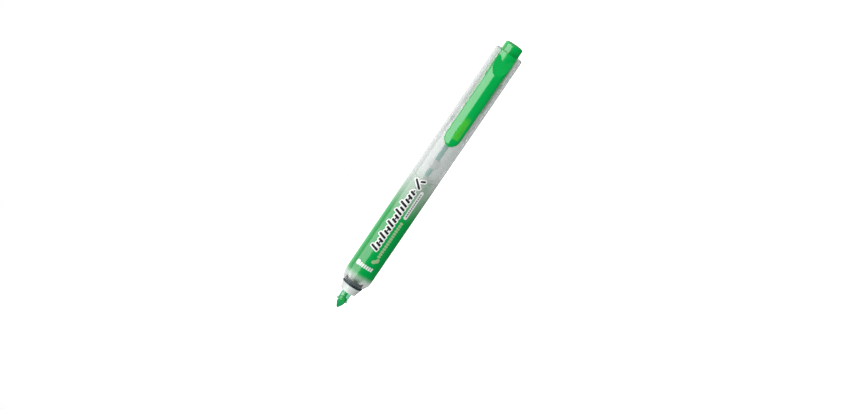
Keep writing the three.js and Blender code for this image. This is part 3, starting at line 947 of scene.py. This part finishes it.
button_front, button_back = stations("push_button")
skirt_r = 5.0
skirt_bore_r = 4.0
cap_station = 140.6
cap_r = 4.43
cap_rounding = 1.05
rounding_steps = 6
cap_edge = [
    (
        button_back - cap_rounding * (1 - math.sin(i / rounding_steps * math.pi / 2)),
        cap_r - cap_rounding * (1 - math.cos(i / rounding_steps * math.pi / 2)),
    )
    for i in range(rounding_steps + 1)
]
button = turned(
    "push_button_moulding",
    [
        (button_front, skirt_bore_r), (button_front, skirt_r), (cap_station, skirt_r),
        (cap_station, cap_r), *cap_edge, (button_back, 0.02), (button_back - 1.6, 0.02),
        (button_back - 1.6, 3.3), (cap_station - 0.6, 3.3), (cap_station - 1.6, skirt_bore_r),
        (button_front, skirt_bore_r),
    ],
    sides=128,
)
tooth_gap_pairs = 3
tooth_gap = Vector((2.2, 2.4, 12)) * MM
for i in range(tooth_gap_pairs):
    bpy.ops.object.select_all(action="DESELECT")
    bpy.ops.mesh.primitive_cube_add(
        size=1,
        location=on_axis(button_front),
        rotation=(math.pi / tooth_gap_pairs * i, 0, 0),
        scale=tooth_gap,
    )
    combine(button, bpy.context.object, "DIFFERENCE")
finished(button, bevel=0.08)


def green_polypropylene(name, colour, painted_light_colour, painted_light_along, painted_light_across):
    """Green moulded plastic under a clear gloss, with a patch of painted light, lighter and yellower,
    which is between two stations and between two heights."""
    material, nodes, links = empty_material(name)
    output = nodes.new("ShaderNodeOutputMaterial")
    output.label = "green moulding"
    shader = nodes.new("ShaderNodeBsdfPrincipled")
    shader.label = "slightly see-through plastic"
    shader.inputs["Roughness"].default_value = 0.3
    shader.inputs["Specular IOR Level"].default_value = 0.0
    shader.inputs["Coat Weight"].default_value = 1.0
    shader.inputs["Coat Roughness"].default_value = 0.08
    links.new(shader.outputs["BSDF"], output.inputs["Surface"])
    colouring = nodes.new("NodeFrame")
    colouring.label = "colour"
    place = nodes.new("ShaderNodeTexCoord")
    place.label = "place on the pen"
    parts = nodes.new("ShaderNodeSeparateXYZ")
    parts.label = "station and height"
    links.new(place.outputs["Object"], parts.inputs["Vector"])
    # This mask is a painted light patch: the plastic is painted lighter and yellower inside it.
    thin = None
    for i, (label, direction, zero, start, end) in enumerate((
        ("painted light patch begins", "X", nib_tip, painted_light_along[0] - 0.4, painted_light_along[0] + 0.6),
        ("painted light patch ends", "X", nib_tip, painted_light_along[1] + 2.5, painted_light_along[1] - 1.5),
        ("its lower side", "Z", axis_z, painted_light_across[0] - 0.5, painted_light_across[0] + 0.5),
        ("its upper side", "Z", axis_z, painted_light_across[1] + 0.2, painted_light_across[1] - 0.2),
    )):
        fade = nodes.new("ShaderNodeMapRange")
        fade.label = label
        fade.location = (-700, 850 - 250 * i)
        fade.parent = colouring
        fade.interpolation_type = "SMOOTHSTEP"
        fade.inputs["From Min"].default_value = zero + start * MM
        fade.inputs["From Max"].default_value = zero + end * MM
        links.new(parts.outputs[direction], fade.inputs["Value"])
        if thin is None:
            thin = fade.outputs["Result"]
        else:
            both = nodes.new("ShaderNodeMath")
            both.label = "inside every limit so far"
            both.location = (-500, 850 - 250 * i)
            both.parent = colouring
            both.operation = "MULTIPLY"
            links.new(thin, both.inputs[0])
            links.new(fade.outputs["Result"], both.inputs[1])
            thin = both.outputs["Value"]
    mottle = nodes.new("ShaderNodeTexNoise")
    mottle.label = "uneven dye"
    mottle.inputs["Scale"].default_value = 160
    mottle.inputs["Detail"].default_value = 4
    links.new(place.outputs["Object"], mottle.inputs["Vector"])
    dyed = nodes.new("ShaderNodeMix")
    dyed.label = "deeper and paler green"
    dyed.data_type = "RGBA"
    dyed.inputs["A"].default_value = (*[c * 0.86 for c in colour], 1)
    dyed.inputs["B"].default_value = (*[c * 1.12 for c in colour], 1)
    links.new(mottle.outputs["Fac"], dyed.inputs["Factor"])
    tone = nodes.new("ShaderNodeMix")
    tone.label = "painted light patch, yellower"
    tone.data_type = "RGBA"
    tone.inputs["B"].default_value = (*painted_light_colour, 1)
    links.new(thin, tone.inputs["Factor"])
    links.new(dyed.outputs["Result"], tone.inputs["A"])
    links.new(tone.outputs["Result"], shader.inputs["Base Color"])
    surface = nodes.new("NodeFrame")
    surface.label = "surface"
    waves = nodes.new("ShaderNodeTexNoise")
    waves.label = "sink marks"
    waves.inputs["Scale"].default_value = 260
    waves.inputs["Detail"].default_value = 2
    links.new(place.outputs["Object"], waves.inputs["Vector"])
    relief = nodes.new("ShaderNodeBump")
    relief.label = "slightly uneven skin"
    relief.inputs["Strength"].default_value = 0.25
    relief.inputs["Distance"].default_value = 0.02 * MM
    links.new(waves.outputs["Fac"], relief.inputs["Height"])
    links.new(relief.outputs["Normal"], shader.inputs["Normal"])
    links.new(relief.outputs["Normal"], shader.inputs["Coat Normal"])
    for node, x, y, group in (
        (output, 900, 0, None), (shader, 600, 0, None), (place, -1100, 0, colouring),
        (parts, -900, 200, colouring), (mottle, -700, -150, colouring),
        (dyed, -300, -50, colouring), (tone, 0, 100, colouring), (waves, -300, -400, surface),
        (relief, 0, -400, surface),
    ):
        node.location = (x, y)
        node.parent = group
    return material


green = (0.0, 0.43, 0.076)
# The lighter, yellower patch on the clip between stations 96 and 106.5 is painted light.
painted_light_green = (0.06, 0.54, 0.045)
green_plastic = green_polypropylene("green_plastic", green, painted_light_green, (96, 106.5), (-2.6, 0.45))
button.data.materials.append(green_plastic)
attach(button, "button")
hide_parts("push_button")

# ---- Pocket clip --------------------------------------------------------------------------------
# Moulded in one with the button. The arm is arched across to a slight ridge, its free end is rounded,
# and a bump underneath grips the pocket. A flat facet slants down from the arm to the root, which
# stands in the barrel's slot. The arm is drawn along the pen, then each section takes its shape.

clip_front = stations("clip_arm")[0]
clip_crown = (axis_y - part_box("clip_arm")[0].y) / MM
clip_half_width = 3.9
clip_wall = 1.35
clip_edge = 7.0
clip_gap = 0.32
clip_end_length = 4.9
droop_length = 3.6
droop_depth = 1.35
ridge = 0.4
root_front = 129.2
root_back = 141.4
end_steps = 14
arm_stations = [
    clip_front + 0.01 + clip_end_length * (1 - math.cos(i / end_steps * math.pi / 2))
    for i in range(end_steps + 1)
]
arm_stations += [clip_front + clip_end_length + 2 * i for i in range(1, 23)] + [root_back]
bpy.ops.object.select_all(action="DESELECT")
bpy.ops.mesh.primitive_circle_add(
    vertices=64,
    radius=MM,
    fill_type="NGON",
    location=on_axis(arm_stations[0]),
    rotation=(0, math.pi / 2, 0),
)
clip = bpy.context.object
clip.name = "pocket_clip"
bpy.ops.object.transform_apply(location=True, rotation=True, scale=True)
bpy.ops.object.mode_set(mode="EDIT")
bpy.ops.mesh.select_all(action="SELECT")
for here, there in zip(arm_stations, arm_stations[1:]):
    bpy.ops.mesh.extrude_region_move(TRANSFORM_OT_translate={"value": ((there - here) * MM, 0, 0)})
bpy.ops.object.mode_set(mode="OBJECT")


def pointed_arch(across):
    """Height of an arch with a slight ridge, 1 at its middle and 0 at its edges."""
    spread = (abs(across) + ridge) / (1 + ridge)
    return math.sqrt(max(0.0, 1 - spread**2)) / math.sqrt(1 - (ridge / (1 + ridge)) ** 2)


for vertex in clip.data.vertices:
    station = (vertex.co.x - nib_tip) / MM
    out = (axis_y - vertex.co.y) / MM
    across = (vertex.co.z - axis_z) / MM
    short_of_full = max(0.0, 1 - (station - clip_front) / clip_end_length)
    half_width = clip_half_width * math.sqrt(1 - short_of_full**2)
    droop = max(0.0, 1 - (station - clip_front) / droop_length) ** 2
    crown = clip_crown - droop_depth * droop
    under_edge = math.sqrt((barrel_r + clip_gap) ** 2 - half_width**2)
    upper_edge = max(clip_edge, under_edge + 0.3)
    if out > -0.001:
        height = upper_edge + (crown - upper_edge) * pointed_arch(across)
    elif station < root_front:
        height = under_edge + max(0.0, crown - clip_wall - under_edge) * -out
    else:
        height = under_edge
    vertex.co.y = axis_y - height * MM
    vertex.co.z = axis_z + across * half_width * MM
bpy.ops.object.mode_set(mode="EDIT")
bpy.ops.mesh.select_all(action="SELECT")
bpy.ops.mesh.normals_make_consistent(inside=False)

facet_front = 130
facet_slope = math.radians(19.7)
facet_point = on_axis(facet_front) - Vector((0, clip_crown * MM, 0))
facet_normal = (math.sin(facet_slope), -math.cos(facet_slope), 0)
bpy.ops.mesh.select_all(action="SELECT")
bpy.ops.mesh.bisect(plane_co=facet_point, plane_no=facet_normal, use_fill=True, clear_outer=True)
bpy.ops.object.mode_set(mode="OBJECT")

root_r = 6.6
root_half_width = 3.85
root_depth = 3.5
bpy.ops.object.select_all(action="DESELECT")
bpy.ops.mesh.primitive_cylinder_add(
    vertices=128,
    radius=root_r * MM,
    depth=(root_back - root_front) * MM,
    location=on_axis((root_front + root_back) / 2),
    rotation=(0, math.pi / 2, 0),
)
root = bpy.context.object
bpy.ops.object.transform_apply(location=True, rotation=True, scale=True)
bpy.ops.object.mode_set(mode="EDIT")
for side, away in (
    (Vector((0, 0, root_half_width * MM)), (0, 0, 1)),
    (Vector((0, 0, -root_half_width * MM)), (0, 0, -1)),
    (Vector((0, -root_depth * MM, 0)), (0, 1, 0)),
):
    bpy.ops.mesh.select_all(action="SELECT")
    bpy.ops.mesh.bisect(plane_co=on_axis(0) + side, plane_no=away, use_fill=True, clear_outer=True)
bpy.ops.object.mode_set(mode="OBJECT")
combine(clip, root, "UNION")

bump_station, bump_out = 100.3, 8.25
bump_half_size = Vector((5.1, 1.12, 2.2)) * MM
bpy.ops.object.select_all(action="DESELECT")
bpy.ops.mesh.primitive_uv_sphere_add(
    segments=48,
    ring_count=24,
    radius=1,
    location=on_axis(bump_station) - Vector((0, bump_out * MM, 0)),
    scale=bump_half_size,
)
bump = bpy.context.object
bpy.ops.object.transform_apply(location=True, rotation=True, scale=True)
combine(clip, bump, "UNION")
skirt_room = turned(
    "skirt_room",
    [
        (root_front - 1, 0.1), (root_front - 1, skirt_r + 0.02), (root_back + 1, skirt_r + 0.02),
        (root_back + 1, 0.1),
    ],
    sides=128,
)
combine(clip, skirt_room, "DIFFERENCE")
finished(clip, bevel=0.12)
facets = [face for face in clip.data.polygons if face.normal.dot(Vector(facet_normal)) > 0.9999]
facet_edges = {edge_ends for face in facets for edge_ends in face.edge_keys}
for edge in clip.data.edges:
    edge.use_edge_sharp = edge.use_edge_sharp or edge.key in facet_edges
clip.data.materials.append(green_plastic)
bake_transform(clip)
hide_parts("clip_arm")

# ---- Printed marks ------------------------------------------------------------------------------
# Screen-printed plain strokes on the front of the barrel: slanting black bars on a white ground, a row
# of cream dashes, a white label and white dashes across. Each is a thin shell cut to its outline.

ink_step = 0.012
stencil_bottom, stencil_top = 4.5, 7.5
print_front, print_back = 18.6, 80


def stencil(strokes):
    """One solid of all the strokes, each given as (station, up, length, width, corner, turn)."""
    solid = None
    for station, height, length, width, corner, turn in strokes:
        low = (station - length / 2, stencil_bottom, height - width / 2)
        high = (station + length / 2, stencil_top, height + width / 2)
        stroke = block("stroke", low, high, corner, turn)
        if solid:
            combine(solid, stroke, "UNION")
        else:
            solid = stroke
    return solid


def printed_marks(name, strokes, layer, material):
    """A print on the barrel, lying this many layers of ink above its surface."""
    inner_r = barrel_r - ink_step
    outer_r = barrel_r + layer * ink_step
    outside = [(print_front, inner_r), (print_front, outer_r), (print_back, outer_r)]
    marks = turned(name, [*outside, (print_back, inner_r), (print_front, inner_r)], sides=128)
    combine(marks, stencil(strokes), "INTERSECT")
    finished(marks)
    marks.data.materials.append(material)
    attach(marks, "barrel")


def printing_ink(name, colour, gloss):
    """Screen ink with the faint unevenness of the mesh."""
    thin = [c * 0.86 for c in colour]
    mesh_marks = ("thick and thin ink", 1800, 3)
    return opaque(name, "dried ink", mesh_marks, thin, colour, (0.5, 0.5), gloss=(gloss, gloss))


white_ink = printing_ink("white_ink", (0.84, 0.86, 0.85), gloss=0.5)
cream_ink = printing_ink("cream_ink", (0.36, 0.56, 0.28), gloss=0.3)
black_ink = printing_ink("black_ink", (0.006, 0.006, 0.007), gloss=0.05)
grey_ink = printing_ink("grey_ink", (0.16, 0.13, 0.13), gloss=0.1)

slant = 14
bar_front = 34.4
bar_pitch = 2.18
bar_foot = -0.45
bar_width = 1.15
tall, short = 3.7, 2.5
bar_heights = [tall, short, short] * 3 + [tall, short] + [tall, short, short, short]
bars = [
    (bar_front + bar_pitch * i, bar_foot + height / 2, bar_width, height, 0.3, slant)
    for i, height in enumerate(bar_heights)
]
bars += [(bar_front + bar_pitch * i - 1.0, 0.8, 0.9, 0.7, 0.3, 0) for i in (2, 5, 8, 13, 15)]
last_mark = bar_front + bar_pitch * 16
bars += [(last_mark + 0.3, 1.2, 1.0, 5.2, 0.45, 42), (last_mark + 2.5, -0.3, 0.9, 2.4, 0.4, -28)]
halo_width, halo_height, halo_corner = 1.2, 0.9, 0.35
halo = [
    (station, height, length + halo_width, width + halo_height, corner + halo_corner, turn)
    for station, height, length, width, corner, turn in bars
]
label_middle = (60.1, -2.75)
label = [(*label_middle, 15.2, 1.65, 0.75, 0)]
across_marks = [(24.5, 3.7, 2.5, 1.7, 0.7, 0)]
across_marks += [(24.4, 2.25 - 1.12 * i, 1.9, 0.85, 0.3, 6) for i in range(6)]
printed_marks("print_white", halo + label + across_marks, 1, white_ink)
line = [(31.6 + 1.42 * i, -2.8, 1.2, 1.45, 0.3, slant) for i in range(14)]
flourish = [(28.7, -2.6, 1.7, 3.3, 0.8, -38), (29.9, -3.3, 1.5, 1.6, 0.7, 0)]
printed_marks("print_cream", line + flourish, 1, cream_ink)
printed_marks("print_black", bars, 2, black_ink)
label_dashes = [(54.2 + 1.07 * i, label_middle[1], 0.74, 0.62, 0.15, 8) for i in range(12)]
printed_marks("print_grey", label_dashes, 2, grey_ink)

# ---- Stage --------------------------------------------------------------------------------------
# A plain white floor, a wide softbox above the clip's side, soft fill light from the room, and a
# camera that looks at the clip's side and leans so that the button is at the upper right. The softbox
# is two lights in one place: one shows only in reflections, and the other lights only matt surfaces.

floor_material = opaque(
    "stage_floor",
    "white paper",
    mottle=("paper clouds", 6, 2),
    hollows=(0.88, 0.88, 0.88),
    tops=(0.92, 0.92, 0.92),
    roughness=(0.9, 0.9),
    relief=(0, 0.01),
    glow=0.7,
)
floor_material.cycles.emission_sampling = "NONE"

bpy.ops.object.select_all(action="DESELECT")
bpy.ops.mesh.primitive_plane_add(size=6, location=(0, 0, 0))
floor = bpy.context.object
floor.name = "floor"
floor.data.materials.append(floor_material)
floor.visible_diffuse = False
floor.visible_glossy = False
floor.visible_transmission = False
floor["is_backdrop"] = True

softbox_height = math.radians(50)
softbox_distance = 0.8
softbox_size = (2.4, 1.08)
pen_middle = Vector((0, axis_y, axis_z))
softbox_way = Vector((0, -math.cos(softbox_height), math.sin(softbox_height)))
for name, radiance, is_mirrored in (("softbox_sheen", 4.9, True), ("softbox_light", 2.4, False)):
    softbox_data = bpy.data.lights.new(name, "AREA")
    softbox_data.shape = "RECTANGLE"
    softbox_data.size, softbox_data.size_y = softbox_size
    softbox_data.energy = radiance * math.pi * softbox_size[0] * softbox_size[1]
    softbox = bpy.data.objects.new(name, softbox_data)
    bpy.context.scene.collection.objects.link(softbox)
    softbox.location = pen_middle + softbox_way * softbox_distance
    softbox.rotation_euler = softbox_way.to_track_quat("Z", "Y").to_euler()
    softbox.visible_camera = False
    softbox.visible_glossy = is_mirrored
    softbox.visible_diffuse = not is_mirrored
    softbox.visible_transmission = False

world = bpy.data.worlds.new("studio")
bpy.context.scene.world = world
world.use_nodes = True
sky, sky_links = world.node_tree.nodes, world.node_tree.links
sky.clear()
sky_output = sky.new("ShaderNodeOutputWorld")
sky_output.label = "studio"
sky_output.location = (900, 0)
room = sky.new("ShaderNodeBackground")
room.label = "room"
room.location = (700, 0)
room.inputs["Color"].default_value = (1, 1, 1, 1)
sky_links.new(room.outputs["Background"], sky_output.inputs["Surface"])
ray = sky.new("ShaderNodeLightPath")
ray.label = "kind of ray"
ray.location = (-600, 300)
direction = sky.new("ShaderNodeTexCoord")
direction.label = "direction"
direction.location = (-900, -100)
height = sky.new("ShaderNodeSeparateXYZ")
height.label = "height of the direction"
height.location = (-700, -100)
sky_links.new(direction.outputs["Generated"], height.inputs["Vector"])
reflected = sky.new("ShaderNodeMapRange")
reflected.label = "room as the pen mirrors it: dark below, paler above"
reflected.location = (-450, -100)
reflected.interpolation_type = "SMOOTHSTEP"
reflected.inputs["From Min"].default_value = -0.2
reflected.inputs["From Max"].default_value = 0.9
reflected.inputs["To Min"].default_value = 0.05
reflected.inputs["To Max"].default_value = 1.7
sky_links.new(height.outputs["Z"], reflected.inputs["Value"])
steps = [
    ("soft fill on the pen", "Is Diffuse Ray", 0.6),
    ("light behind clear parts", "Is Transmission Ray", 0.76),
    ("white background", "Is Camera Ray", 1.0),
]
so_far = reflected.outputs["Result"]
for i, (label, kind, strength) in enumerate(steps):
    step = sky.new("ShaderNodeMix")
    step.label = label
    step.location = (-150 + 250 * i, 0)
    step.data_type = "FLOAT"
    step.inputs["B"].default_value = strength
    sky_links.new(ray.outputs[kind], step.inputs["Factor"])
    sky_links.new(so_far, step.inputs["A"])
    so_far = step.outputs["Result"]
sky_links.new(so_far, room.inputs["Strength"])

camera_data = bpy.data.cameras.new("camera")
camera_data.sensor_width = 36
camera_data.lens = 110.8
camera = bpy.data.objects.new("camera", camera_data)
bpy.context.scene.collection.objects.link(camera)
bpy.context.scene.camera = camera
camera_azimuth = math.radians(10)
camera_elevation = math.radians(2.5)
camera_distance = 1.2
camera_lean = math.radians(56.13)
level_reach = math.cos(camera_elevation)
towards = Vector((
    -math.sin(camera_azimuth) * level_reach,
    math.cos(camera_azimuth) * level_reach,
    -math.sin(camera_elevation),
))
level_right = towards.cross(Vector((0, 0, 1))).normalized()
level_up = level_right.cross(towards)
right = math.cos(camera_lean) * level_right - math.sin(camera_lean) * level_up
up = math.sin(camera_lean) * level_right + math.cos(camera_lean) * level_up
low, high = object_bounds()
pen_centre = (Vector(low) + Vector(high)) / 2
aim_below, aim_right = 12.28 * MM, 2.31 * MM
aim = pen_centre - aim_below * up + aim_right * right
turned_as = Matrix((right, up, -towards)).transposed().to_4x4()
camera.matrix_world = Matrix.Translation(aim - towards * camera_distance) @ turned_as
bpy.context.scene.view_settings.view_transform = "Standard"
